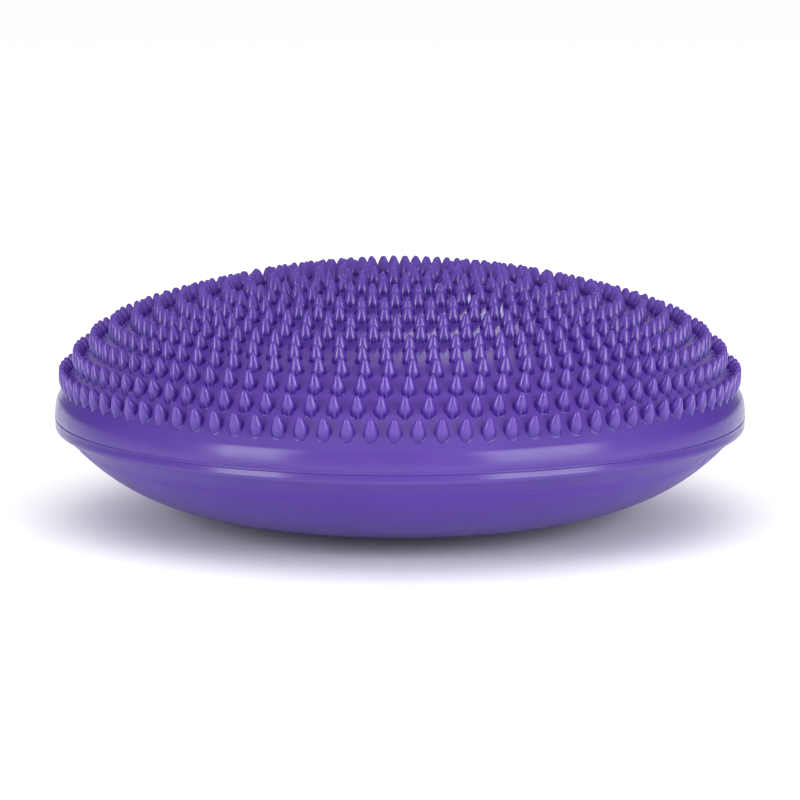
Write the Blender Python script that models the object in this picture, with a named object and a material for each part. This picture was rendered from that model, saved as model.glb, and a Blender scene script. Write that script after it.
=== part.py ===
"""Air-filled balance pad: a studded upper skin, a welded rim, a smooth lower skin and a plugged valve.

Metres, +Z up, origin at the centre of the flat patch the pad rests on.
Both skins are cut into concentric zones by upright cylindrical gaps, so that each zone can sink by its
own share when the pad is pressed down. The rim is rigid. The valve is in the lower skin, at +Y.
"""
import math

import bmesh
import bpy
from mathutils import Matrix, Vector
from mathutils.geometry import delaunay_2d_cdt

# ---- driving dimensions ----
GAP = 0.0003                  # between touching pieces
SKIN_T = 0.0028               # upright thickness of both skins
CROWN_Z = 0.1115              # top of the upper skin, without studs
CROWN_ARC_R = 0.370           # radius of curvature of the crown
SHOULDER_START_R = 0.116      # outside this radius the upper skin falls away faster
SHOULDER_END_R = 0.158
SHOULDER_POWER = 3.4
SHOULDER_DROP = 0.0171        # extra fall at SHOULDER_END_R

STUD_H = 0.0075
STUD_HALF = 0.0025            # half the side of a stud's square base
STUD_LEAN = 0.36              # how far a stud leans out, as a share of the skin's slope
STUD_PITCH = 0.0105           # between the tips of two studs of a row
OUTER_ROW_R = 0.1555          # radius of the outermost row, at the skin
ROW_COUNT = 16
SHOULDER_ROWS = 4             # each of these rows is shifted against the next
OUTER_ROW_PHASE = -0.23       # where the outermost row starts at the front, in pitches
FRONT_PHASE = 0.21            # where the second row starts
ROW_PHASE_STEP = 0.165        # added from each shoulder row to the next, going inwards
PAIR_PHASE = 0.41             # inside the shoulder, rows are shifted two by two
PAIR_PHASE_STEP = 0.46
EDGE_ROWS = 5                 # outer rows with a zone of their own
ROWS_PER_ZONE = 2
CENTRE_ROWS = 3

RIM_R = 0.1610                # largest radius
RIM_INNER_R = 0.1553
SKIN_EDGE_R = 0.1607          # the upper skin ends here, on top of the upper bead
SEAM_Z = 0.0480               # mid-height of the weld

PATCH_R = 0.036               # flat patch under the pad
LOWER_ARC_R = 0.570           # radius of curvature of the lower skin
LOWER_TURN_R = 0.083          # outside this radius the lower skin turns up
LOWER_TURN_RISE = 0.0157      # extra rise at the fold
FOLD_R = 0.1500               # fold between the lower dome and the flank
FLANK_TOP_R = 0.1590
FLANK_STEP_Z = 0.0008         # the flank starts this much above the dome's edge
FLANK_TOP_Z = 0.0424
LOWER_CUTS = (0.052, 0.084, 0.118)
DOME_STEPS = 3                # profile steps of each dome zone

RIM_SEGMENTS = 60
ZONE_SEGMENTS = 60
INNER_SEGMENTS = 36
INNER_ZONE_R = 0.060          # zones cut inside this radius use the smaller segment count

VALVE_R = 0.101               # distance of the valve from the pad's axis
VALVE_HOLE_R = 0.0093
SEAT_R = 0.0090
SEAT_FLANGE_R = 0.0120
SEAT_IN = -0.0090             # inner end of the seat, measured outwards from the skin's face
SEAT_FLANGE_LOW = 0.0007
SEAT_OUT = 0.0019
RECESS_R = 0.0072
RECESS_FLOOR = -0.0015
BORE_R = 0.00330
PLUG_SHAFT_R = 0.00325
PLUG_TIP_R = 0.0024
PLUG_TIP_IN = -0.0082
PLUG_TAPER_IN = -0.0070
PLUG_HEAD_R = 0.0066
PLUG_HEAD_LOW = -0.0012
PLUG_HEAD_OUT = 0.0010
TAB_LENGTH = 0.0080
TAB_WIDTH = 0.0016
TAB_OUT = 0.0034
TAB_ROOT = 0.0005
BOSS_R = 0.0140
BOSS_IN = -0.0065
BOSS_OUT = -0.0036
VALVE_SEGMENTS = 24
SHARP_ANGLE = math.radians(32.0)
FRONT_ANGLE = -math.pi / 2.0


def clear_scene():
    for obj in list(bpy.data.objects):
        bpy.data.objects.remove(obj, do_unlink=True)


def make_material(name, colour, roughness):
    mat = bpy.data.materials.new(name)
    mat.use_nodes = True
    bsdf = mat.node_tree.nodes["Principled BSDF"]
    bsdf.inputs["Base Color"].default_value = (*colour, 1.0)
    bsdf.inputs["Roughness"].default_value = roughness
    bsdf.inputs["Metallic"].default_value = 0.0
    return mat


def add_object(name, bm, material, smooth=True):
    bmesh.ops.recalc_face_normals(bm, faces=bm.faces)
    mesh = bpy.data.meshes.new(name)
    bm.to_mesh(mesh)
    bm.free()
    mesh.materials.append(material)
    for face in mesh.polygons:
        face.use_smooth = smooth
    if smooth:
        mesh.set_sharp_from_angle(angle=SHARP_ANGLE)
    obj = bpy.data.objects.new(name, mesh)
    bpy.context.scene.collection.objects.link(obj)
    return obj


def upper_height(radius):
    """Height of the upper skin's outer face."""
    beyond = max(0.0, radius - SHOULDER_START_R) / (SHOULDER_END_R - SHOULDER_START_R)
    return CROWN_Z - radius ** 2 / (2.0 * CROWN_ARC_R) - SHOULDER_DROP * beyond ** SHOULDER_POWER


def slope(height, radius):
    """Angle of a skin against the horizontal, positive where it falls outwards."""
    reach = 0.0001
    return math.atan2(height(radius - reach) - height(radius + reach), 2.0 * reach)


def dome_height(radius):
    """Height of the lower dome's outer face."""
    rise = max(0.0, radius ** 2 - PATCH_R ** 2) / (2.0 * LOWER_ARC_R)
    beyond = max(0.0, radius - LOWER_TURN_R) / (FOLD_R - LOWER_TURN_R)
    return rise + LOWER_TURN_RISE * beyond ** 3


def flank_height(radius):
    """Height of the flank's outer face, from the fold up to the rim."""
    low = dome_height(FOLD_R) + FLANK_STEP_Z
    share = (radius - FOLD_R) / (FLANK_TOP_R - FOLD_R)
    return low + share * (FLANK_TOP_Z - low)


def row_radii():
    """Radii of the stud rows, outermost first, evenly spaced along the skin."""
    step = 0.00005
    steps = round(OUTER_ROW_R / step)
    arc = [0.0]
    for k in range(steps):
        rise = upper_height((k + 1) * step) - upper_height(k * step)
        arc.append(arc[-1] + math.hypot(step, rise))
    spacing = arc[-1] / (ROW_COUNT - 0.5)
    found = []
    for index in range(ROW_COUNT):
        wanted = arc[-1] - index * spacing
        found.append(step * sum(1 for length in arc[1:] if length <= wanted))
    return found


def stud_tip(radius):
    """Radius and height of the tip of a stud that stands at a radius on the upper skin."""
    lean = STUD_LEAN * slope(upper_height, radius)
    return radius + STUD_H * math.sin(lean), upper_height(radius) + STUD_H * math.cos(lean)


def row_phase(index):
    if index == 0:
        return OUTER_ROW_PHASE
    if index < SHOULDER_ROWS:
        return FRONT_PHASE + ROW_PHASE_STEP * (index - 1)
    return PAIR_PHASE + PAIR_PHASE_STEP * ((index - SHOULDER_ROWS) // 2)


def row_angles(index, radius):
    """Angles of the studs of one row, counted from the front."""
    count = round(2.0 * math.pi * stud_tip(radius)[0] / STUD_PITCH)
    return [FRONT_ANGLE + 2.0 * math.pi * (row_phase(index) + k) / count for k in range(count)]


def loop_points(radius, segments):
    turn = 2.0 * math.pi / segments
    return [Vector((radius * math.cos(k * turn), radius * math.sin(k * turn))) for k in range(segments)]


def cut_segments(radius):
    return INNER_SEGMENTS if radius < INNER_ZONE_R else ZONE_SEGMENTS


def stud_corners(radius, angle):
    """The four corners of a stud's base, in plan."""
    out = Vector((math.cos(angle), math.sin(angle)))
    along = Vector((-out.y, out.x))
    signs = ((-1, -1), (1, -1), (1, 1), (-1, 1))
    return [out * (radius + a * STUD_HALF) + along * (b * STUD_HALF) for a, b in signs]


def planar_fill(loops):
    """Triangles between closed convex plan loops; the first is the outline, the others are holes."""
    points = []
    edges = []
    owner = []
    for number, loop in enumerate(loops):
        first = len(points)
        points.extend(loop)
        owner.extend([number] * len(loop))
        edges.extend((first + k, first + (k + 1) % len(loop)) for k in range(len(loop)))
    filled = delaunay_2d_cdt(points, edges, [], 0, 1e-7, True)
    triangles = [[filled[3][v][0] for v in face] for face in filled[2]]
    return [t for t in triangles if owner[t[0]] == 0 or len({owner[k] for k in t}) > 1]


def close_walls(bm, top, low):
    count = len(top)
    for k in range(count):
        n = (k + 1) % count
        bm.faces.new((top[k], top[n], low[n], low[k]))


def zone(name, inner, outer, rows, height, inward, material):
    """One concentric zone of a skin: outer face with studs, inner face and upright edges.

    inward is +SKIN_T or -SKIN_T, the way from the outer face to the inner one.
    """
    borders = [loop_points(outer, cut_segments(outer))]
    if inner > 0.0:
        borders.append(loop_points(inner, cut_segments(inner)))
    studs = []
    for index, radius in rows:
        studs.extend((radius, angle) for angle in row_angles(index, radius))
    loops = borders + [stud_corners(radius, angle) for radius, angle in studs]

    bm = bmesh.new()
    verts = []
    for loop in loops:
        verts.append([bm.verts.new((p.x, p.y, height(p.length))) for p in loop])
    flat = [v for loop in verts for v in loop]
    for face in planar_fill(loops):
        bm.faces.new([flat[k] for k in face])
    for (radius, angle), base in zip(studs, verts[len(borders):]):
        tip_r, tip_z = stud_tip(radius)
        tip = bm.verts.new((tip_r * math.cos(angle), tip_r * math.sin(angle), tip_z))
        for k in range(4):
            bm.faces.new((base[k], base[(k + 1) % 4], tip))

    back = []
    for border in borders:
        back.append([bm.verts.new((p.x, p.y, height(p.length) + inward)) for p in border])
    back_flat = [v for loop in back for v in loop]
    for face in planar_fill(borders):
        bm.faces.new([back_flat[k] for k in face])
    for k in range(len(borders)):
        close_walls(bm, verts[k], back[k])
    return add_object(name, bm, material, smooth=not rows)


def revolved(name, profile, segments, material, matrix=None):
    """A closed (radius, height) profile turned about Z; points on the axis become single vertices."""
    bm = bmesh.new()
    rings = []
    turn = 2.0 * math.pi / segments
    for radius, z in profile:
        if radius <= 0.0:
            rings.append([bm.verts.new((0.0, 0.0, z))])
            continue
        spots = [(radius * math.cos(k * turn), radius * math.sin(k * turn), z) for k in range(segments)]
        rings.append([bm.verts.new(spot) for spot in spots])
    for index, ring in enumerate(rings):
        other = rings[(index + 1) % len(rings)]
        if len(ring) == 1 and len(other) == 1:
            continue
        for k in range(segments):
            n = (k + 1) % segments
            corners = [ring[k % len(ring)], ring[n % len(ring)]]
            corners += [other[n % len(other)], other[k % len(other)]]
            unique = list(dict.fromkeys(corners))
            bm.faces.new(unique)
    if matrix is not None:
        bmesh.ops.transform(bm, matrix=matrix, verts=bm.verts)
    return add_object(name, bm, material)


def boolean(target, tool, operation):
    """Apply one exact Boolean to target and hide the tool from the render."""
    modifier = target.modifiers.new("cut", "BOOLEAN")
    modifier.operation = operation
    modifier.solver = "EXACT"
    modifier.object = tool
    tool.hide_render = True
    tool.display_type = "WIRE"


def valve_frame():
    """Matrix whose Z axis points out of the lower skin at the valve."""
    turn = Matrix.Rotation(math.pi - slope(dome_height, VALVE_R), 4, "X")
    return Matrix.Translation((0.0, VALVE_R, dome_height(VALVE_R))) @ turn


def build_upper_skin(material):
    rows = list(enumerate(row_radii()))
    groups = [[rows[k]] for k in range(EDGE_ROWS)]
    first_centre = ROW_COUNT - CENTRE_ROWS
    for start in range(EDGE_ROWS, first_centre, ROWS_PER_ZONE):
        groups.append(rows[start:start + ROWS_PER_ZONE])
    groups.append(rows[first_centre:])
    outer = SKIN_EDGE_R
    for number, group in enumerate(groups):
        last_row = group[-1][0]
        inner = 0.0
        if last_row < ROW_COUNT - 1:
            cut = (rows[last_row][1] + rows[last_row + 1][1]) / 2.0
            inner = cut + GAP / 2.0
        name = f"upper_skin_zone_{number + 1:02d}"
        zone(name, inner, outer, group, upper_height, -SKIN_T, material)
        outer = inner - GAP


def build_rim(upper, weld, lower):
    shelf = upper_height(SKIN_EDGE_R) - SKIN_T - GAP
    upper_low = SEAM_Z + 0.00105
    profile = [
        (RIM_INNER_R, upper_low),
        (RIM_R - 0.0012, upper_low),
        (RIM_R - 0.0005, upper_low + 0.0006),
        (RIM_R, upper_low + 0.0018),
        (RIM_R, shelf - 0.0009),
        (RIM_R - 0.0003, shelf),
        (RIM_INNER_R, shelf),
    ]
    revolved("rim_upper_bead", profile, RIM_SEGMENTS, upper)

    half = 0.00075
    profile = [
        (RIM_INNER_R, SEAM_Z - half),
        (RIM_R - 0.0009, SEAM_Z - half),
        (RIM_R - 0.0003, SEAM_Z - half / 2.0),
        (RIM_R - 0.0003, SEAM_Z + half / 2.0),
        (RIM_R - 0.0009, SEAM_Z + half),
        (RIM_INNER_R, SEAM_Z + half),
    ]
    revolved("rim_seam_weld", profile, RIM_SEGMENTS, weld)

    lower_top = SEAM_Z - 0.00105
    web_low = FLANK_TOP_Z + SKIN_T + GAP
    bead = lower_top - FLANK_TOP_Z
    profile = [
        (RIM_INNER_R, lower_top),
        (RIM_INNER_R, web_low),
        (FLANK_TOP_R + GAP / 2.0, web_low),
        (FLANK_TOP_R + GAP / 2.0, FLANK_TOP_Z),
        (RIM_R - 0.0009, FLANK_TOP_Z + 0.20 * bead),
        (RIM_R - 0.0002, FLANK_TOP_Z + 0.45 * bead),
        (RIM_R - 0.0001, FLANK_TOP_Z + 0.70 * bead),
        (RIM_R - 0.0004, lower_top - 0.10 * bead),
        (RIM_R - 0.0011, lower_top),
    ]
    revolved("rim_lower_bead", profile, RIM_SEGMENTS, lower)


def build_lower_skin(material):
    """The root disc, three dome zones and the flank. Returns the zone that holds the valve."""
    half = GAP / 2.0
    first = LOWER_CUTS[0]
    profile = [
        (0.0, 0.0),
        (PATCH_R, 0.0),
        (first - half, dome_height(first - half)),
        (first - half, dome_height(first - half) + SKIN_T),
        (PATCH_R, SKIN_T),
        (0.0, SKIN_T),
    ]
    revolved("lower_skin_centre", profile, ZONE_SEGMENTS, material)
    edges = list(LOWER_CUTS) + [FOLD_R]
    holder = None
    for number in range(len(edges) - 1):
        inner = edges[number] + half
        outer = edges[number + 1] - half
        spots = [inner + (outer - inner) * k / DOME_STEPS for k in range(DOME_STEPS + 1)]
        profile = [(r, dome_height(r)) for r in spots]
        profile += [(r, dome_height(r) + SKIN_T) for r in reversed(spots)]
        obj = revolved(f"lower_skin_zone_{number + 1:02d}", profile, ZONE_SEGMENTS, material)
        if inner < VALVE_R < outer:
            holder = obj
    inner = FOLD_R + half
    outer = FLANK_TOP_R - half
    profile = [(r, flank_height(r)) for r in (inner, outer)]
    profile += [(r, flank_height(r) + SKIN_T) for r in (outer, inner)]
    revolved("lower_skin_flank", profile, RIM_SEGMENTS, material)
    return holder


def build_valve(holder, seat_material, boss_material, plug_material, cutter_material):
    frame = valve_frame()
    reach = 0.020
    profile = [(0.0, -reach), (VALVE_HOLE_R, -reach), (VALVE_HOLE_R, reach), (0.0, reach)]
    cutter = revolved("cut_valve_hole", profile, VALVE_SEGMENTS, cutter_material, frame)
    boolean(holder, cutter, "DIFFERENCE")

    profile = [
        (BORE_R, SEAT_IN),
        (SEAT_R, SEAT_IN),
        (SEAT_R, SEAT_FLANGE_LOW),
        (SEAT_FLANGE_R, SEAT_FLANGE_LOW),
        (SEAT_FLANGE_R, SEAT_OUT - 0.0006),
        (SEAT_FLANGE_R - 0.0008, SEAT_OUT),
        (RECESS_R, SEAT_OUT),
        (RECESS_R, RECESS_FLOOR),
        (BORE_R, RECESS_FLOOR),
    ]
    revolved("valve_seat", profile, VALVE_SEGMENTS, seat_material, frame)

    inner = VALVE_HOLE_R
    profile = [(inner, BOSS_IN), (BOSS_R, BOSS_IN), (BOSS_R, BOSS_OUT), (inner, BOSS_OUT)]
    revolved("valve_boss", profile, VALVE_SEGMENTS, boss_material, frame)

    profile = [
        (0.0, PLUG_TIP_IN),
        (PLUG_TIP_R, PLUG_TIP_IN),
        (PLUG_SHAFT_R, PLUG_TAPER_IN),
        (PLUG_SHAFT_R, PLUG_HEAD_LOW),
        (PLUG_HEAD_R, PLUG_HEAD_LOW),
        (PLUG_HEAD_R, PLUG_HEAD_OUT - 0.0005),
        (PLUG_HEAD_R - 0.0005, PLUG_HEAD_OUT),
        (0.0, PLUG_HEAD_OUT),
    ]
    plug = revolved("valve_plug", profile, VALVE_SEGMENTS, plug_material)
    plug.matrix_world = frame

    bm = bmesh.new()
    bmesh.ops.create_cube(bm, size=1.0)
    size = Matrix.Diagonal((TAB_LENGTH, TAB_WIDTH, TAB_OUT - TAB_ROOT, 1.0))
    place = Matrix.Translation((0.0, 0.0, (TAB_OUT + TAB_ROOT) / 2.0))
    bmesh.ops.transform(bm, matrix=frame @ place @ size, verts=bm.verts)
    tab = add_object("join_plug_tab", bm, cutter_material, smooth=False)
    boolean(plug, tab, "UNION")


def main():
    clear_scene()
    upper = make_material("upper_skin_pvc", (0.135, 0.078, 0.330), 0.30)
    lower = make_material("lower_skin_pvc", (0.125, 0.072, 0.310), 0.32)
    upper_bead = make_material("upper_bead_pvc", (0.150, 0.088, 0.350), 0.27)
    lower_bead = make_material("lower_bead_pvc", (0.145, 0.085, 0.345), 0.27)
    weld = make_material("seam_weld_pvc", (0.120, 0.068, 0.300), 0.34)
    seat = make_material("valve_seat_pvc", (0.105, 0.060, 0.265), 0.40)
    boss = make_material("valve_boss_pvc", (0.115, 0.066, 0.290), 0.38)
    plug = make_material("valve_plug_pvc", (0.740, 0.735, 0.760), 0.35)
    build_upper_skin(upper)
    build_rim(upper_bead, weld, lower_bead)
    holder = build_lower_skin(lower)
    build_valve(holder, seat, boss, plug, weld)


main()
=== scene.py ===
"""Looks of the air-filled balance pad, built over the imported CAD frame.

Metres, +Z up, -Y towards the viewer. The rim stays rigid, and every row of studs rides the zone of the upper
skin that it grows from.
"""
import math

import bmesh
import bpy
import numpy as np
from mathutils import Matrix, Vector


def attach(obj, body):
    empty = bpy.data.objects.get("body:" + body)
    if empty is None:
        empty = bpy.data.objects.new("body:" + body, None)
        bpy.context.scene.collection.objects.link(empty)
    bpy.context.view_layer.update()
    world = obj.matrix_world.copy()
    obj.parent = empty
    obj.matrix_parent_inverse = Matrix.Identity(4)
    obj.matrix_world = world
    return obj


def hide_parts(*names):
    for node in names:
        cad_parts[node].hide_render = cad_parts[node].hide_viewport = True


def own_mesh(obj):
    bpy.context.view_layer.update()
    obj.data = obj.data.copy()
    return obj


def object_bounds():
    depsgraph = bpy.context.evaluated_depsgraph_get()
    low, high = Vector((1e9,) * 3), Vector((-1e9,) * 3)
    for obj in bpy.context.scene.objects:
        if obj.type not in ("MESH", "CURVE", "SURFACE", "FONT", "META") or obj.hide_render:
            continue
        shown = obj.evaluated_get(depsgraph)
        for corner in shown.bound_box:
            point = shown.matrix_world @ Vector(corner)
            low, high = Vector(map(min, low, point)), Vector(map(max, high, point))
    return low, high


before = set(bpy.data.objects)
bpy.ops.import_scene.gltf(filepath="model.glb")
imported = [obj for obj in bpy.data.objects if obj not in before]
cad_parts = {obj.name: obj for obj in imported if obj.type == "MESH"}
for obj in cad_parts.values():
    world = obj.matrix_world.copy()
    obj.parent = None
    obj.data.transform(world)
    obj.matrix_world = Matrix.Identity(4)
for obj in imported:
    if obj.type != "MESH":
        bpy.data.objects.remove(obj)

CAD_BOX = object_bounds()
FRONT_ANGLE = -math.pi / 2.0

# ---- upper skin, as in the CAD ----
SKIN_T = 0.0028
CROWN_Z = 0.1115              # top of the skin, without studs
CROWN_ARC_R = 0.370           # radius of curvature of the crown
SHOULDER_START_R = 0.116      # outside this radius the skin falls away faster
SHOULDER_END_R = 0.158
SHOULDER_POWER = 3.4
SHOULDER_DROP = 0.0171
ZONE_COUNT = 10

# ---- stud rows, as in the CAD ----
STUD_H = 0.0075
STUD_LEAN = 0.36              # how far a stud leans out, as a share of the skin's slope
STUD_PITCH = 0.0105
OUTER_ROW_R = 0.1555
ROW_COUNT = 16
SHOULDER_ROWS = 4
OUTER_ROW_PHASE = -0.23       # phases are in pitches, counted from the front
FRONT_PHASE = 0.21
ROW_PHASE_STEP = 0.165
PAIR_PHASE = 0.41
PAIR_PHASE_STEP = 0.46
SINGLE_ROW_ZONES = 5
ROWS_PER_ZONE = 2

# ---- rim and lower skin, as in the CAD ----
RIM_R = (CAD_BOX[1].x - CAD_BOX[0].x) / 2.0
SEAM_Z = 0.0480
RIM_FOOT_R = 0.1590
RIM_FOOT_Z = 0.0424
PATCH_R = 0.036               # flat patch under the pad
LOWER_ARC_R = 0.570
LOWER_TURN_R = 0.083
LOWER_TURN_RISE = 0.0157
FOLD_R = 0.1500
FLANK_STEP_Z = 0.0008

# ---- valve, as in the CAD: heights are measured outwards from the lower skin's face ----
VALVE_R = 0.101
VALVE_HOLE_R = 0.0093
SEAT_R = 0.0090
SEAT_FLANGE_R = 0.0120
SEAT_IN = -0.0090
SEAT_OUT = 0.0019
RECESS_R = 0.0072
RECESS_FLOOR = -0.0015
BORE_R = 0.00330
PLUG_SHAFT_R = 0.00325
PLUG_TIP_R = 0.0024
PLUG_TIP_IN = -0.0082
PLUG_TAPER_IN = -0.0070
PLUG_HEAD_R = 0.0066
PLUG_HEAD_LOW = -0.0012
PLUG_HEAD_OUT = 0.0010
TAB_LENGTH = 0.0080
TAB_WIDTH = 0.0016
TAB_OUT = 0.0034
BOSS_R = 0.0140
BOSS_IN = -0.0065
BOSS_OUT = -0.0036

# ---- fine shape of the studs ----
STUD_TIP_R = 0.00118
STUD_BELLY_R = 0.00338        # half-width of a stud at the skin
STUD_CONE = 0.58              # share of the height where the cone turns into the belly
FILLET_UP = 0.0003
FILLET_OUT = 0.0003
FILLET_SINK = 0.00006         # the fillet's edge lies this far under the skin's face
ROOT_DEPTH = 0.0026           # a stud goes on this far into the skin, so that no gap opens when it flattens
FOOT_START = 0.72             # the painted shade at the foot starts at this share of the layers

# ---- fine shape of the skins ----
SKIN_LAP = 0.0002             # the skin goes on this far under the rim's edge
SKIN_LAP_SINK = 0.00012
WAVE_FADE = 0.015             # the skin's unevenness fades out over this width at the rim
SLOW_WAVE = 0.00012
FAST_WAVE = 0.00008
LOWER_SKIN_T = 0.8 * SKIN_T   # upright thickness; the inner face is also shifted towards the axis
INNER_SHIFT = 0.0012
INNER_SHIFT_R = 0.12          # the shift grows up to this radius
PUCKERS = (69.0, -73.0, 152.0, -139.0)                       # degrees from the front
PUCKER_DENTS = ((-0.011, 0.6), (0.0, 1.0), (0.012, 0.7))     # way along the fold, share of the depth
PUCKER_DEPTH = 0.0011
PUCKER_WIDTH = 0.0022
PUCKER_LENGTH = 0.0045
PUCKER_OUT = 0.004            # middle of a dent, outwards from the fold

# ---- outlines of the rim: way in from RIM_R, and share of the height from the top edge down ----
RIM_WALL = 0.0057
LIP_HALF = 0.0007
UPPER_BEAD = ((0.00138, 0.11), (0.00094, 0.22), (0.00062, 0.33), (0.00038, 0.46), (0.00014, 0.64),
              (0.0, 0.82), (0.00003, 0.94), (0.00014, 1.0))
LOWER_BEAD = ((0.00046, 0.0), (0.00037, 0.12), (0.00020, 0.32), (0.00004, 0.54), (0.00022, 0.76),
              (0.00095, 0.93))
LIP = ((0.00022, 0.0008), (0.00002, 0.00045), (-0.00016, 0.0), (0.00010, -0.00045),
       (0.00050, -0.0008))    # way in from RIM_R, and height above SEAM_Z

# ---- mesh fineness ----
AROUND = 360
LOWER_AROUND = 720
VALVE_AROUND = 96
PLUG_AROUND = 72
STUD_AROUND = 20
STUD_STEPS = 9
FILLET_STEPS = 4
SHARP_ANGLE = math.radians(50.0)

# ---- camera, lamps and floor ----
LENS = 202.0
SENSOR = 36.0
CAMERA_DISTANCE = 2.1
CAMERA_ELEVATION = math.radians(9.4)
CAMERA_TARGET = Vector((0.0, 0.0, 0.054))
LAMP_TARGET = Vector((0.0, 0.0, 0.06))
FLOOR_HALF = 30.0

BEAD_COLOUR = (0.074, 0.036, 0.245)


# ---- surfaces and places ----

def upper_height(radius):
    """Height of the upper skin's outer face at a distance from the axis."""
    beyond = np.maximum(0.0, radius - SHOULDER_START_R) / (SHOULDER_END_R - SHOULDER_START_R)
    return CROWN_Z - radius ** 2 / (2.0 * CROWN_ARC_R) - SHOULDER_DROP * beyond ** SHOULDER_POWER


def dome_height(radius):
    """Height of the lower dome's outer face."""
    rise = np.maximum(0.0, radius ** 2 - PATCH_R ** 2) / (2.0 * LOWER_ARC_R)
    beyond = np.maximum(0.0, radius - LOWER_TURN_R) / (FOLD_R - LOWER_TURN_R)
    return rise + LOWER_TURN_RISE * beyond ** 3


def fall(height, radius):
    """Angle at which a skin falls outwards."""
    reach = 0.0001
    return np.arctan2(height(radius - reach) - height(radius + reach), 2.0 * reach)


def row_radii():
    """Radii of the stud rows at the skin, outermost first, evenly spaced along it."""
    radius = np.linspace(0.0, OUTER_ROW_R, 3000)
    steps = np.hypot(np.diff(radius), np.diff(upper_height(radius)))
    arc = np.concatenate([[0.0], np.cumsum(steps)])
    wanted = arc[-1] * (1.0 - np.arange(ROW_COUNT) / (ROW_COUNT - 0.5))
    return np.interp(wanted, arc, radius)


ROWS = row_radii()
ANCHOR_R = OUTER_ROW_R        # the upper skin meets the rim at this radius
ANCHOR_Z = float(upper_height(ANCHOR_R))
VALVE_FRAME = (Matrix.Translation((0.0, VALVE_R, float(dome_height(VALVE_R))))
               @ Matrix.Rotation(math.pi - float(fall(dome_height, VALVE_R)), 4, "X"))


def row_phase(index):
    if index == 0:
        return OUTER_ROW_PHASE
    if index < SHOULDER_ROWS:
        return FRONT_PHASE + ROW_PHASE_STEP * (index - 1)
    return PAIR_PHASE + PAIR_PHASE_STEP * ((index - SHOULDER_ROWS) // 2)


def stud_lean(index):
    return STUD_LEAN * fall(upper_height, ROWS[index])


def stud_angles(index):
    """Angles of a row's studs about the pad's axis. The pitch is kept at their tips."""
    tip_r = ROWS[index] + STUD_H * math.sin(stud_lean(index))
    count = round(2.0 * math.pi * tip_r / STUD_PITCH)
    return FRONT_ANGLE + 2.0 * math.pi * (row_phase(index) + np.arange(count)) / count


def body_of_row(index):
    """Body of the CAD zone that carries a row: the rim, one of the rings or the crown."""
    if index == 0:
        return "rim"
    zone = index + 1
    if index >= SINGLE_ROW_ZONES:
        zone = SINGLE_ROW_ZONES + 1 + (index - SINGLE_ROW_ZONES) // ROWS_PER_ZONE
    return f"upper_ring_{zone:02d}" if zone < ZONE_COUNT else "crown"


# ---- mesh helpers ----

def smooth_path(points, per_span):
    """A Catmull-Rom curve through (radius, height) points."""
    p = np.array(points, float)
    p = np.vstack([2 * p[0] - p[1], p, 2 * p[-1] - p[-2]])
    t = np.linspace(0.0, 1.0, per_span, endpoint=False)[:, None]
    spans = []
    for a, b, c, d in zip(p, p[1:], p[2:], p[3:]):
        spans.append(0.5 * (2 * b + (c - a) * t + (2 * a - 5 * b + 4 * c - d) * t ** 2
                            + (3 * b - a - 3 * c + d) * t ** 3))
    return [tuple(spot) for spot in np.vstack(spans + [p[-2][None]])]


def mesh_object(name, verts, faces, material, matrix=None):
    """A smooth mesh with its faces pointing out and its sharp edges marked."""
    mesh = bpy.data.meshes.new(name)
    mesh.from_pydata([tuple(v) for v in verts], [], faces)
    bm = bmesh.new()
    bm.from_mesh(mesh)
    if matrix is not None:
        bmesh.ops.transform(bm, matrix=matrix, verts=bm.verts)
    bmesh.ops.recalc_face_normals(bm, faces=bm.faces)
    for face in bm.faces:
        face.smooth = True
    for edge in bm.edges:
        edge.smooth = edge.calc_face_angle(0.0) < SHARP_ANGLE
    bm.to_mesh(mesh)
    bm.free()
    mesh.materials.append(material)
    obj = bpy.data.objects.new(name, mesh)
    bpy.context.scene.collection.objects.link(obj)
    return obj


def turned(name, profile, material, around=AROUND, matrix=None, wave=None):
    """A closed (radius, height) outline turned about Z. wave(x, y) is added to the heights."""
    verts = []
    rings = []
    turn = 2.0 * math.pi * np.arange(around) / around
    for radius, height in profile:
        first = len(verts)
        if radius < 1e-9:
            verts.append((0.0, 0.0, height))
            rings.append([first])
            continue
        x = radius * np.cos(turn)
        y = radius * np.sin(turn)
        z = np.full(around, height)
        if wave is not None:
            z = z + wave(x, y)
        verts.extend(zip(x, y, z))
        rings.append(list(range(first, first + around)))
    faces = []
    for ring, other in zip(rings, rings[1:] + rings[:1]):
        if len(ring) == 1 and len(other) == 1:
            continue
        for k in range(around):
            n = (k + 1) % around
            corners = [ring[k % len(ring)], ring[n % len(ring)], other[n % len(other)], other[k % len(other)]]
            faces.append(tuple(dict.fromkeys(corners)))
    return mesh_object(name, verts, faces, material, matrix)


# ---- materials ----

def object_noise(mat, scale, detail):
    """Noise in the object's own coordinates."""
    nodes = mat.node_tree.nodes
    where = nodes.new("ShaderNodeTexCoord")
    noise = nodes.new("ShaderNodeTexNoise")
    noise.inputs["Scale"].default_value = scale
    noise.inputs["Detail"].default_value = detail
    mat.node_tree.links.new(where.outputs["Object"], noise.inputs["Vector"])
    return noise.outputs["Fac"]


def map_range(mat, value, source, target, shape="LINEAR"):
    """Carry a value from the source range over to the target range."""
    node = mat.node_tree.nodes.new("ShaderNodeMapRange")
    node.interpolation_type = shape
    node.inputs["From Min"].default_value, node.inputs["From Max"].default_value = source
    node.inputs["To Min"].default_value, node.inputs["To Max"].default_value = target
    mat.node_tree.links.new(value, node.inputs["Value"])
    return node.outputs["Result"]


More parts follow.
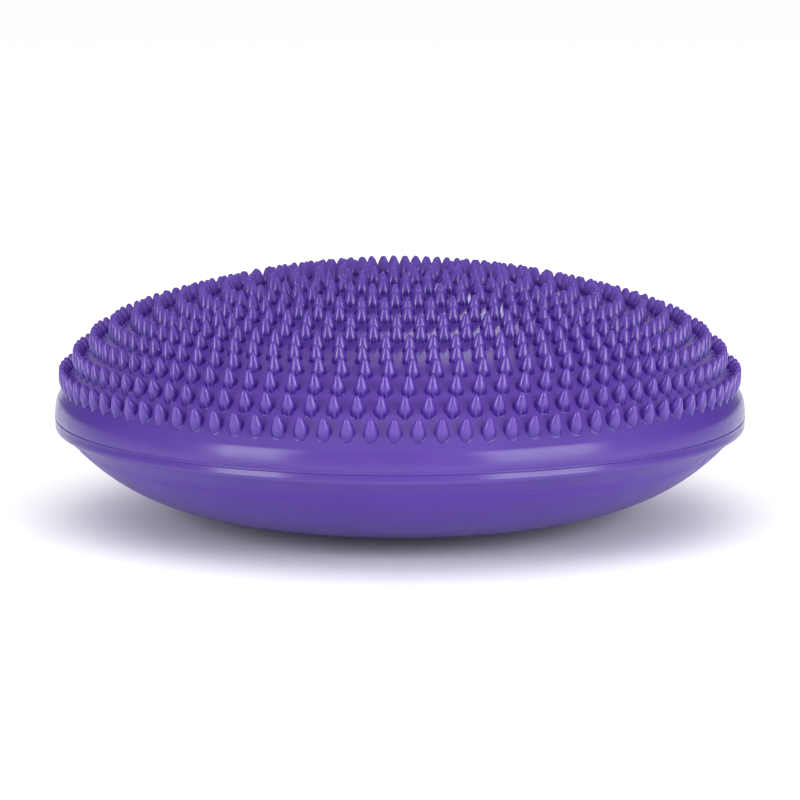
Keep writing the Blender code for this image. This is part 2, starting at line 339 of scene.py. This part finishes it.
def cloud_colour(mat, colour, mottling):
    """The colour with faint, soft-edged clouds, mottling lighter and darker."""
    tint = mat.node_tree.nodes.new("ShaderNodeValToRGB")
    dark, light = tint.color_ramp.elements
    dark.position = 0.30
    light.position = 0.72
    dark.color = (*[c * (1.0 - mottling) for c in colour], 1.0)
    light.color = (*[min(1.0, c * (1.0 + mottling)) for c in colour], 1.0)
    mat.node_tree.links.new(object_noise(mat, 22.0, 5.0), tint.inputs["Fac"])
    return tint.outputs["Color"]


def grain_normal(mat, strength):
    """A fine moulded grain."""
    relief = mat.node_tree.nodes.new("ShaderNodeBump")
    relief.inputs["Strength"].default_value = strength
    relief.inputs["Distance"].default_value = 0.0002
    mat.node_tree.links.new(object_noise(mat, 900.0, 3.0), relief.inputs["Height"])
    return relief.outputs["Normal"]


def pvc_material(name, colour, roughness, bump, specular=0.5, coat=0.25, mottling=0.06):
    """Glossy soft PVC: faint clouding in the colour, uneven gloss and a fine moulded grain."""
    mat = bpy.data.materials.new(name)
    mat.use_nodes = True
    bsdf = mat.node_tree.nodes["Principled BSDF"]
    bsdf.inputs["IOR"].default_value = 1.5
    bsdf.inputs["Specular IOR Level"].default_value = specular
    bsdf.inputs["Coat Weight"].default_value = coat
    bsdf.inputs["Coat Roughness"].default_value = 0.22
    spread = 0.035
    gloss = map_range(mat, object_noise(mat, 70.0, 6.0), (0.3, 0.7), (roughness - spread, roughness + spread))
    links = mat.node_tree.links
    links.new(cloud_colour(mat, colour, mottling), bsdf.inputs["Base Color"])
    links.new(gloss, bsdf.inputs["Roughness"])
    links.new(grain_normal(mat, bump), bsdf.inputs["Normal"])
    return mat


def turned_away_shade(mat, start, full, most):
    """A share of painted shade that rises to most where the surface turns away from the eye."""
    turn = mat.node_tree.nodes.new("ShaderNodeLayerWeight")
    turn.inputs["Blend"].default_value = 0.5
    return map_range(mat, turn.outputs["Facing"], (start, full), (0.0, most), "SMOOTHSTEP")


def paint_shade(mat, share, colour, keep):
    """Mix the base colour towards a deeper one, as painted shade: keep says how much is left of red, green
    and blue.
    """
    nodes = mat.node_tree.nodes
    links = mat.node_tree.links
    base = nodes["Principled BSDF"].inputs["Base Color"]
    mix = nodes.new("ShaderNodeMix")
    mix.data_type = "RGBA"
    links.new(share, mix.inputs["Factor"])
    links.new(base.links[0].from_socket, mix.inputs["A"])
    mix.inputs["B"].default_value = (*[c * k for c, k in zip(colour, keep)], 1.0)
    links.new(mix.outputs["Result"], base)


def upper_skin_material():
    return pvc_material("upper_skin_gloss", (0.078, 0.031, 0.262), 0.23, 0.15, specular=0.4, coat=0.1)


def stud_material():
    """Painted shade: the colour is deeper where a stud meets the skin and where its wall turns away."""
    colour = (0.082, 0.033, 0.285)
    mat = pvc_material("stud_gloss_painted_shade", colour, 0.23, 0.06, specular=0.45, coat=0.1)
    nodes = mat.node_tree.nodes
    links = mat.node_tree.links
    # The foot attribute carries painted shade at each stud's foot, where shade falls against the skin.
    foot = nodes.new("ShaderNodeAttribute")
    foot.attribute_name = "foot"
    both = nodes.new("ShaderNodeMath")
    both.operation = "MAXIMUM"
    links.new(foot.outputs["Fac"], both.inputs[0])
    links.new(turned_away_shade(mat, 0.45, 0.95, 0.75), both.inputs[1])
    # Painted shade: the colour is mixed towards a deeper purple at the foot and on the walls that turn away.
    paint_shade(mat, both.outputs["Value"], colour, (0.42, 0.25, 0.70))
    return mat


def bead_material(name, colour, roughness, specular):
    """Gloss of the rim, with painted shade: a deeper colour where it turns away."""
    mat = pvc_material(name, colour, roughness, 0.08, specular=specular, coat=0.0)
    # Painted shade: the colour is mixed towards a deeper purple where the rim turns away from the eye.
    paint_shade(mat, turned_away_shade(mat, 0.20, 0.75, 1.0), BEAD_COLOUR, (0.50, 0.20, 0.80))
    return mat


def upper_bead_material():
    return bead_material("upper_bead_gloss_painted_shade", BEAD_COLOUR, 0.23, 0.32)


def weld_material():
    return bead_material("weld_gloss_painted_shade", (0.078, 0.038, 0.250), 0.23, 0.32)


def lower_bead_material():
    return bead_material("lower_bead_gloss_painted_shade", BEAD_COLOUR, 0.21, 0.36)


def lower_skin_material():
    return pvc_material("lower_skin_gloss", (0.071, 0.030, 0.270), 0.34, 0.10, specular=0.22, coat=0.0)


def seat_material():
    return pvc_material("valve_seat_satin", (0.060, 0.026, 0.230), 0.38, 0.12, coat=0.0)


def plug_material():
    return pvc_material("valve_plug_satin", (0.74, 0.735, 0.76), 0.42, 0.10, coat=0.0, mottling=0.02)


# ---- upper skin and studs ----

def skin_wave(x, y):
    """Slight unevenness of a blown-up membrane, a tenth of a millimetre, that fades out at the rim."""
    fade = np.clip((ANCHOR_R - np.hypot(x, y)) / WAVE_FADE, 0.0, 1.0)
    slow = SLOW_WAVE * np.sin(61.0 * x + 1.3) * np.sin(57.0 * y + 0.4)
    return fade * (slow + FAST_WAVE * np.sin(118.0 * x - 93.0 * y))


def skin_height(x, y):
    return upper_height(np.hypot(x, y)) + skin_wave(x, y)


def build_upper_skin(material):
    """The skin up to the rim, whose edge it runs under for a short way."""
    finer_r = 0.1
    radii = np.linspace(0.0, finer_r, 60)
    radii = np.concatenate([radii, np.linspace(finer_r, ANCHOR_R - 0.0001, 70)[1:]])
    lap = ANCHOR_R + SKIN_LAP
    outer = [(r, upper_height(r)) for r in radii]
    outer += [(ANCHOR_R, ANCHOR_Z), (lap, upper_height(lap) - SKIN_LAP_SINK)]
    inner = [(r, upper_height(r) - SKIN_T) for r in [lap, *radii[::-1]]]
    skin = turned("upper_skin", outer + inner, material, wave=skin_wave)
    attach(skin, "rim")
    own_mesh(skin)
    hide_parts(*[f"upper_skin_zone_{k + 1:02d}" for k in range(ZONE_COUNT)])


def stud_radius(depth):
    """Half-width of a stud at a depth below its tip: a round point, a cone, then a rounded belly."""
    cap = np.sqrt(np.maximum(0.0, STUD_TIP_R ** 2 - (STUD_TIP_R - np.minimum(depth, STUD_TIP_R)) ** 2))
    start = STUD_TIP_R * 0.5
    share = np.clip((depth - start) / (STUD_H - start), 0.0, 1.0)
    cone_width = 2.0 * STUD_CONE / (1.0 + STUD_CONE)
    belly = np.maximum(0.0, share - STUD_CONE) / (1.0 - STUD_CONE)
    swell = cone_width * np.minimum(share, STUD_CONE) / STUD_CONE + (1.0 - cone_width) * (2.0 - belly) * belly
    return cap + (STUD_BELLY_R - STUD_TIP_R) * swell


class StudRow:
    """Points on all the studs of one row at once. Arrays are studs by points around a stud."""

    def __init__(self, index):
        angles = stud_angles(index)[:, None]
        turn = (2.0 * math.pi * np.arange(STUD_AROUND) / STUD_AROUND)[None, :]
        self.count = len(angles)
        self.radius = ROWS[index]
        self.lean = stud_lean(index)
        self.ray_x = np.cos(angles)
        self.ray_y = np.sin(angles)
        self.across = np.cos(turn)
        self.along = np.sin(turn)
        self.mid_z = skin_height(self.radius * self.ray_x, self.radius * self.ray_y)

    def at(self, depth, reach):
        """Points at a depth below the tip and a reach from the stud's own leaning axis."""
        rise = STUD_H - depth
        out = self.radius + rise * math.sin(self.lean) + reach * self.across * math.cos(self.lean)
        side = reach * self.along
        x = out * self.ray_x - side * self.ray_y
        y = out * self.ray_y + side * self.ray_x
        z = self.mid_z + rise * math.cos(self.lean) - reach * self.across * math.sin(self.lean)
        return np.array([x, y, z])

    def skin_depth(self):
        """Depth at which each line down a stud's wall meets the skin, found step by step."""
        depth = np.full((self.count, STUD_AROUND), STUD_H)
        for _ in range(14):
            x, y, z = self.at(depth, stud_radius(depth))
            depth = depth + 0.7 * (z - skin_height(x, y)) / math.cos(self.lean)
        return depth

    def layers(self):
        """Rings of points from just under the tip, down the wall and the fillet to the root."""
        depth = self.skin_depth()
        found = []
        for step in np.linspace(0.0, 1.0, STUD_STEPS + 1)[1:]:
            down = (depth - FILLET_UP) * step ** 1.5
            found.append(self.at(down, stud_radius(down)))
        foot = stud_radius(depth)
        top = found[-1]
        corner = self.at(depth, foot)
        edge = self.at(depth, foot + FILLET_OUT)
        edge[2] = skin_height(edge[0], edge[1]) - FILLET_SINK
        for t in np.linspace(0.0, 1.0, FILLET_STEPS + 1)[1:]:
            found.append((1 - t) ** 2 * top + 2 * t * (1 - t) * corner + t ** 2 * edge)
        root_z = skin_height(corner[0], corner[1]) - ROOT_DEPTH
        found.append(np.array([corner[0], corner[1], root_z]))
        return found

    def points(self):
        """Every stud's points: the tip, the layers one after the other, and the middle of the root."""
        zero = np.zeros((self.count, 1))
        tip = self.at(zero, zero)[:, :, :1]
        root = np.array([self.radius * self.ray_x, self.radius * self.ray_y, self.mid_z - ROOT_DEPTH])
        return np.concatenate([tip, *self.layers(), root], axis=2).transpose(1, 2, 0)


def stud_faces(studs, per_stud):
    """Faces of studs whose points follow each other as StudRow.points gives them."""
    ring = STUD_AROUND
    last = per_stud - 1 - ring
    faces = []
    for base in range(0, studs * per_stud, per_stud):
        for k in range(ring):
            n = (k + 1) % ring
            faces.append((base, base + 1 + k, base + 1 + n))
            for a in range(base + 1, base + last, ring):
                faces.append((a + k, a + ring + k, a + ring + n, a + n))
            faces.append((base + last + k, base + per_stud - 1, base + last + n))
    return faces


def foot_shade_share(per_stud):
    """How much painted shade each point of a stud gets: 0 down to FOOT_START, then rising to 1 at the skin.
    """
    layers = (per_stud - 2) // STUD_AROUND
    level = (np.arange(1, layers + 1) / STUD_STEPS - FOOT_START) / (1.0 - FOOT_START)
    return np.concatenate([[0.0], np.repeat(np.clip(level, 0.0, 1.0), STUD_AROUND), [1.0]])


def build_stud_row(index, material):
    """One row of studs. Every stud is a closed body that meets the skin in a small round fillet."""
    points = StudRow(index).points()
    studs, per_stud = points.shape[:2]
    faces = stud_faces(studs, per_stud)
    row = mesh_object(f"stud_row_{index + 1:02d}", points.reshape(-1, 3), faces, material)
    # The foot attribute holds the painted shade at each stud's foot.
    foot = row.data.attributes.new("foot", "FLOAT", "POINT")
    foot.data.foreach_set("value", np.tile(foot_shade_share(per_stud), studs).astype(np.float32))
    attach(row, body_of_row(index))


# ---- rim ----

def build_upper_bead(material):
    """The shoulder from the skin's edge outwards and the bead down to the weld lip."""
    inner_r = RIM_R - RIM_WALL
    shoulder = [(r, upper_height(r)) for r in np.linspace(ANCHOR_R, SHOULDER_END_R + 0.0010, 8)]
    top = shoulder[-1][1]
    lip_top = SEAM_Z + LIP_HALF
    bead = [(RIM_R - inset, top + share * (lip_top - top)) for inset, share in UPPER_BEAD]
    path = smooth_path(shoulder + bead, 6)
    path += [(inner_r, lip_top), (inner_r, ANCHOR_Z - SKIN_T - 0.001), (ANCHOR_R, ANCHOR_Z - SKIN_T)]
    band = turned("rim_upper_bead_skin", path, material)
    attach(band, "rim")
    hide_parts("rim_upper_bead")


def build_weld_lip(material):
    inner_r = RIM_R - RIM_WALL
    path = smooth_path([(RIM_R - inset, SEAM_Z + rise) for inset, rise in LIP], 5)
    path += [(inner_r, path[-1][1]), (inner_r, path[0][1])]
    seam = turned("rim_weld_lip", path, material)
    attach(seam, "rim")
    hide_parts("rim_seam_weld")


def build_lower_bead(material):
    inner_r = RIM_R - RIM_WALL
    top = SEAM_Z - LIP_HALF
    bead = [(RIM_R - inset, top + share * (RIM_FOOT_Z - top)) for inset, share in LOWER_BEAD]
    path = smooth_path(bead + [(RIM_FOOT_R, RIM_FOOT_Z)], 6)
    path += [(RIM_FOOT_R - 0.0015, RIM_FOOT_Z + 0.002), (inner_r, top - 0.0005), (inner_r, top)]
    low = turned("rim_lower_bead_skin", path, material)
    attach(low, "rim")
    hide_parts("rim_lower_bead")


# ---- lower skin ----

def pucker(x, y):
    """Short dents where the sheet of the lower skin is gathered at the fold."""
    along = (np.hypot(x, y) - FOLD_R - PUCKER_OUT) / PUCKER_LENGTH
    dent = 0.0
    for azimuth in PUCKERS:
        for side, depth in PUCKER_DENTS:
            turn = FRONT_ANGLE + math.radians(azimuth) + side / FOLD_R
            across = (y * math.cos(turn) - x * math.sin(turn)) / PUCKER_WIDTH
            ahead = (x * math.cos(turn) + y * math.sin(turn)) > 0.0
            dent = dent + ahead * depth * np.exp(-across ** 2 - along ** 2)
    return PUCKER_DEPTH * dent


def lower_outline():
    """The lower skin's outer face: flat patch, dome, fold and flank up to the rim."""
    dome_r = np.concatenate([np.linspace(0.0, PATCH_R, 6), np.linspace(PATCH_R, FOLD_R, 36)[1:]])
    dome = [(r, float(dome_height(r))) for r in dome_r]
    edge = dome[-1][1]
    rise = RIM_FOOT_Z - edge - FLANK_STEP_Z
    flank = [
        (FOLD_R, edge),
        (FOLD_R + 0.0003, edge + 0.8 * FLANK_STEP_Z),
        (FOLD_R + 0.0011, edge + 1.3 * FLANK_STEP_Z),
        (FOLD_R + 0.0030, edge + FLANK_STEP_Z + 0.33 * rise),
        (FOLD_R + 0.0060, edge + FLANK_STEP_Z + 0.66 * rise),
        (RIM_FOOT_R, RIM_FOOT_Z),
    ]
    return dome + smooth_path(flank, 5)[1:]


def build_lower_skin(material):
    outer = lower_outline()
    inner = []
    for radius, height in outer[::-1]:
        shift = INNER_SHIFT * min(1.0, radius / INNER_SHIFT_R)
        inner.append((max(0.0, radius - shift), height + LOWER_SKIN_T))
    skin = turned("lower_skin", outer + inner, material, around=LOWER_AROUND, wave=pucker)
    open_skin(skin)
    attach(skin, "base")
    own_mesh(skin)
    names = ["lower_skin_centre", "lower_skin_flank"] + [f"lower_skin_zone_{k:02d}" for k in (1, 2, 3)]
    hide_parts(*names)


def open_skin(skin):
    """Cut the round opening for the valve seat through the lower skin."""
    bpy.ops.mesh.primitive_cylinder_add(vertices=64, radius=VALVE_HOLE_R, depth=0.03)
    cutter = bpy.context.object
    cutter.matrix_world = VALVE_FRAME
    cut = skin.modifiers.new("opening", "BOOLEAN")
    cut.operation = "DIFFERENCE"
    cut.solver = "EXACT"
    cut.object = cutter
    bpy.context.view_layer.update()
    graph = bpy.context.evaluated_depsgraph_get()
    opened = bpy.data.meshes.new_from_object(skin.evaluated_get(graph))
    skin.modifiers.remove(cut)
    closed = skin.data
    skin.data = opened
    bpy.data.meshes.remove(closed)
    bpy.data.objects.remove(cutter)


# ---- valve ----

def build_valve_seat(material):
    """A soft collar with a thin flange outside the skin, a shallow recess and the bore."""
    outline = [
        (BORE_R, SEAT_IN + 0.0004),
        (BORE_R + 0.0004, SEAT_IN),
        (SEAT_R - 0.0008, SEAT_IN),
        (SEAT_R - 0.0002, SEAT_IN + 0.0003),
        (SEAT_R, SEAT_IN + 0.0009),
        (SEAT_R, 0.0),
        (SEAT_FLANGE_R - 0.0005, 0.00035),
        (SEAT_FLANGE_R - 0.0001, 0.0006),
        (SEAT_FLANGE_R, 0.0010),
        (SEAT_FLANGE_R - 0.0003, 0.0015),
        (SEAT_FLANGE_R - 0.0010, 0.0018),
        (SEAT_FLANGE_R - 0.0020, SEAT_OUT),
        (RECESS_R + 0.0008, SEAT_OUT),
        (RECESS_R + 0.0002, SEAT_OUT - 0.0002),
        (RECESS_R, SEAT_OUT - 0.0007),
        (RECESS_R, RECESS_FLOOR + 0.0006),
        (RECESS_R - 0.0002, RECESS_FLOOR + 0.0002),
        (RECESS_R - 0.0006, RECESS_FLOOR),
        (BORE_R + 0.0005, RECESS_FLOOR),
        (BORE_R + 0.0001, RECESS_FLOOR - 0.0002),
        (BORE_R, RECESS_FLOOR - 0.0006),
    ]
    seat = turned("valve_collar", outline, material, around=VALVE_AROUND,
                  matrix=VALVE_FRAME)
    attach(seat, "lower_ring_2")
    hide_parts("valve_seat")


def build_valve_boss(material):
    """The stiffening ring welded round the seat inside the pad."""
    edge = 0.0006
    inner_r = SEAT_R + 0.0003
    outline = [
        (inner_r, BOSS_IN),
        (BOSS_R - edge, BOSS_IN),
        (BOSS_R - 0.3 * edge, BOSS_IN + 0.3 * edge),
        (BOSS_R, BOSS_IN + edge),
        (BOSS_R, (BOSS_IN + BOSS_OUT) / 2.0),
        (BOSS_R, BOSS_OUT - edge),
        (BOSS_R - 0.3 * edge, BOSS_OUT - 0.3 * edge),
        (BOSS_R - edge, BOSS_OUT),
        (inner_r, BOSS_OUT),
    ]
    boss = turned("valve_stiffener", outline, material, around=VALVE_AROUND,
                  matrix=VALVE_FRAME)
    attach(boss, "lower_ring_2")
    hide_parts("valve_boss")


def sealing_rib(height):
    """One rounded rib round the plug's shaft."""
    half = ((0.0003, 0.0007), (0.00005, 0.0003))
    lower = [(PLUG_SHAFT_R - inset, height - away) for inset, away in half]
    upper = [(PLUG_SHAFT_R - inset, height + away) for inset, away in half[::-1]]
    return lower + [(PLUG_SHAFT_R, height)] + upper


def build_valve_plug(material):
    """A push-in plug with two sealing ribs and a rounded head."""
    neck = PLUG_HEAD_LOW
    outline = [
        (0.0, PLUG_TIP_IN),
        (PLUG_TIP_R - 0.0005, PLUG_TIP_IN),
        (PLUG_TIP_R - 0.0001, PLUG_TIP_IN + 0.0003),
        (PLUG_SHAFT_R - 0.0004, PLUG_TAPER_IN),
    ] + sealing_rib(-0.0052) + sealing_rib(-0.0030) + [
        (PLUG_SHAFT_R - 0.0003, neck - 0.0002),
        (PLUG_SHAFT_R, neck),
        (PLUG_HEAD_R - 0.0006, neck),
        (PLUG_HEAD_R - 0.0001, neck + 0.0004),
        (PLUG_HEAD_R, neck + 0.0010),
        (PLUG_HEAD_R - 0.0002, PLUG_HEAD_OUT - 0.0006),
        (PLUG_HEAD_R - 0.0008, PLUG_HEAD_OUT - 0.0001),
        (PLUG_HEAD_R - 0.0016, PLUG_HEAD_OUT),
        (PLUG_HEAD_R - 0.0024, PLUG_HEAD_OUT - 0.0003),
        (0.0, PLUG_HEAD_OUT - 0.0003),
    ]
    plug = turned("plug_body", outline, material, around=PLUG_AROUND, matrix=VALVE_FRAME)
    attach(plug, "plug")
    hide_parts("valve_plug")


def crosses_above(edge, height):
    """True for an edge that runs across the tab, not along it, and lies above a height."""
    first, second = (v.co for v in edge.verts)
    return abs(first.x - second.x) < 1e-9 and min(first.z, second.z) > height


def build_plug_tab(material):
    """The flat tab that the plug is pulled by. Its two outer corners are rounded first, then every edge."""
    bm = bmesh.new()
    bmesh.ops.create_cube(bm, size=1.0)
    height = TAB_OUT - PLUG_HEAD_OUT + 0.0008
    bmesh.ops.scale(bm, vec=(TAB_LENGTH, TAB_WIDTH, height), verts=bm.verts)
    bmesh.ops.translate(bm, vec=(0.0, 0.0, TAB_OUT - height / 2.0), verts=bm.verts)
    corners = [edge for edge in bm.edges if crosses_above(edge, TAB_OUT - height / 2.0)]
    bmesh.ops.bevel(bm, geom=corners, offset=0.0014, segments=6, profile=0.5, affect="EDGES")
    bmesh.ops.bevel(bm, geom=bm.edges[:], offset=0.00028, segments=3, profile=0.5, affect="EDGES",
                    clamp_overlap=True)
    verts = [v.co[:] for v in bm.verts]
    faces = [[v.index for v in face.verts] for face in bm.faces]
    bm.free()
    tab = mesh_object("plug_pull_tab", verts, faces, material, VALVE_FRAME)
    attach(tab, "plug")


# ---- stage ----

def build_world():
    world = bpy.data.worlds.new("studio")
    bpy.context.scene.world = world
    world.use_nodes = True
    background = world.node_tree.nodes["Background"]
    background.inputs["Color"].default_value = (1.0, 1.0, 1.0, 1.0)
    background.inputs["Strength"].default_value = 0.32


def build_overhead():
    """A very wide sun that lights all from above and isn't seen in reflections."""
    sun = bpy.data.lights.new("overhead", "SUN")
    sun.energy = 2.4
    sun.angle = math.radians(120.0)
    overhead = bpy.data.objects.new("overhead", sun)
    overhead.visible_glossy = False
    bpy.context.scene.collection.objects.link(overhead)


def paper_material():
    """White paper that is clear from below, so that the pad's underside can be seen through it."""
    mat = bpy.data.materials.new("floor_paper")
    mat.use_nodes = True
    nodes = mat.node_tree.nodes
    links = mat.node_tree.links
    bsdf = nodes["Principled BSDF"]
    bsdf.inputs["Base Color"].default_value = (0.93, 0.93, 0.93, 1.0)
    bsdf.inputs["Roughness"].default_value = 0.9
    clear = nodes.new("ShaderNodeBsdfTransparent")
    side = nodes.new("ShaderNodeNewGeometry")
    mix = nodes.new("ShaderNodeMixShader")
    links.new(side.outputs["Backfacing"], mix.inputs["Fac"])
    links.new(bsdf.outputs["BSDF"], mix.inputs[1])
    links.new(clear.outputs["BSDF"], mix.inputs[2])
    links.new(mix.outputs["Shader"], nodes["Material Output"].inputs["Surface"])
    return mat


def build_floor():
    signs = ((-1, -1), (1, -1), (1, 1), (-1, 1))
    mesh = bpy.data.meshes.new("floor")
    mesh.from_pydata([(a * FLOOR_HALF, b * FLOOR_HALF, 0.0) for a, b in signs], [], [(0, 1, 2, 3)])
    mesh.materials.append(paper_material())
    floor = bpy.data.objects.new("floor", mesh)
    bpy.context.scene.collection.objects.link(floor)


def way_from_pad(azimuth, elevation):
    """Direction from the pad. Azimuth 0 is at the front and positive to the right; both in radians."""
    level = math.cos(elevation)
    return Vector((math.sin(azimuth) * level, -math.cos(azimuth) * level, math.sin(elevation)))


def softbox(name, azimuth, elevation, distance, width, height, power):
    """A rectangular softbox aimed at the pad, with its angles in degrees."""
    light = bpy.data.lights.new(name, "AREA")
    light.shape = "RECTANGLE"
    light.size = width
    light.size_y = height
    light.energy = power
    lamp = bpy.data.objects.new(name, light)
    way = way_from_pad(math.radians(azimuth), math.radians(elevation))
    lamp.location = LAMP_TARGET + way * distance
    lamp.rotation_euler = (-way).to_track_quat("-Z", "Y").to_euler()
    bpy.context.scene.collection.objects.link(lamp)


def build_softboxes():
    """Two boxes at the sides draw the pairs of streaks on the studs. The others lift the shoulder."""
    softbox("softbox_right", azimuth=46.0, elevation=15.0, distance=1.6, width=1.10, height=0.80, power=17.0)
    softbox("softbox_left", azimuth=-48.0, elevation=15.0, distance=1.6, width=0.65, height=0.80, power=12.0)
    softbox("softbox_back", azimuth=176.0, elevation=29.0, distance=1.8, width=0.32, height=1.20, power=2.7)
    softbox("softbox_top", azimuth=0.0, elevation=54.0, distance=1.7, width=1.70, height=0.40, power=2.2)


def build_camera():
    data = bpy.data.cameras.new("camera")
    data.sensor_width = SENSOR
    data.lens = LENS
    data.clip_end = 100.0
    camera = bpy.data.objects.new("camera", data)
    back = way_from_pad(0.0, CAMERA_ELEVATION)
    camera.location = CAMERA_TARGET + back * CAMERA_DISTANCE
    camera.rotation_euler = (-back).to_track_quat("-Z", "Y").to_euler()
    bpy.context.scene.collection.objects.link(camera)
    bpy.context.scene.camera = camera


def build_pad():
    build_upper_skin(upper_skin_material())
    studs = stud_material()
    for index in range(ROW_COUNT):
        build_stud_row(index, studs)
    build_upper_bead(upper_bead_material())
    build_weld_lip(weld_material())
    build_lower_bead(lower_bead_material())
    build_lower_skin(lower_skin_material())
    seat = seat_material()
    build_valve_seat(seat)
    build_valve_boss(seat)
    plug = plug_material()
    build_valve_plug(plug)
    build_plug_tab(plug)


def main():
    bpy.context.scene.view_settings.view_transform = "Standard"
    build_pad()
    build_world()
    build_overhead()
    build_floor()
    build_softboxes()
    build_camera()


main()
